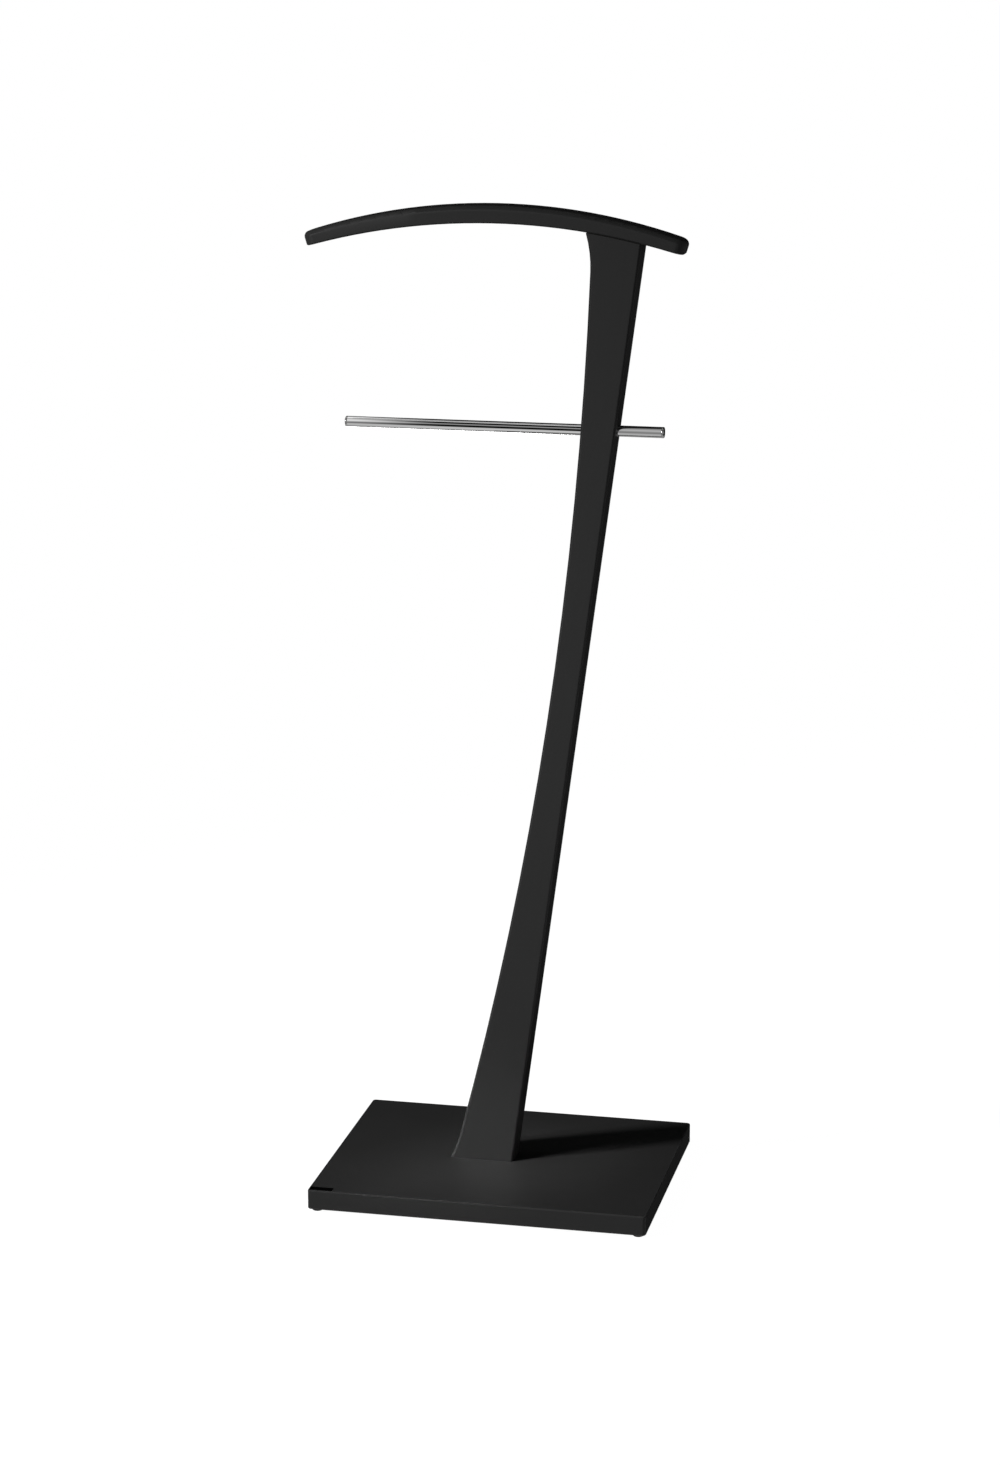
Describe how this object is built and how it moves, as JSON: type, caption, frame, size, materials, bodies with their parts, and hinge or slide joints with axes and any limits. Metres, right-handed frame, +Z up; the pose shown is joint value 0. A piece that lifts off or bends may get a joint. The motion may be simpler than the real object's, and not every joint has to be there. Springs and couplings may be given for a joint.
{
  "type": "valet stand",
  "caption": "Free-standing valet stand with a low board, a leaning hollow-edged stem, a round trouser bar through the stem and an arched jacket hanger on its curved seat.",
  "frame": {"origin": "on the floor, under the middle of the hanger, which is the middle of the whole stand's box", "axes": "+Z up, +X along the hanger towards the side that the stem leans to, +Y from the front edge of the board to its back edge"},
  "size_m": [0.4172, 0.301, 1.1021],
  "materials": {
    "lacquered_wood": "black satin lacquer over close-grained wood",
    "bar_chrome": "polished chrome plate",
    "cap_chrome": "polished chrome plate on a turned plug",
    "zinc_steel": "bright zinc plate",
    "sleeve_brass": "turned brass",
    "glide_plastic": "moulded black nylon",
    "dowel_beech": "bare beech",
    "strip_black": "thin matt black film"
  },
  "bodies": {
    "root": {"base_board": "lacquered_wood", "stem": "lacquered_wood", "hanger": "lacquered_wood", "trouser_bar": "bar_chrome", "bar_cap_left": "cap_chrome", "bar_cap_right": "cap_chrome", "bar_set_screw": "zinc_steel", "bar_set_screw_sleeve": "sleeve_brass", "corner_strip": "strip_black", "base_bolt_left": "zinc_steel", "base_washer_left": "zinc_steel", "foot_sleeve_left": "sleeve_brass", "hanger_dowel_left": "dowel_beech", "base_bolt_right": "zinc_steel", "base_washer_right": "zinc_steel", "foot_sleeve_right": "sleeve_brass", "hanger_dowel_right": "dowel_beech", "glide_front_left": "glide_plastic", "glide_screw_front_left": "zinc_steel", "glide_front_right": "glide_plastic", "glide_screw_front_right": "zinc_steel", "glide_back_left": "glide_plastic", "glide_screw_back_left": "zinc_steel", "glide_back_right": "glide_plastic", "glide_screw_back_right": "zinc_steel"}
  },
  "joints": []
}
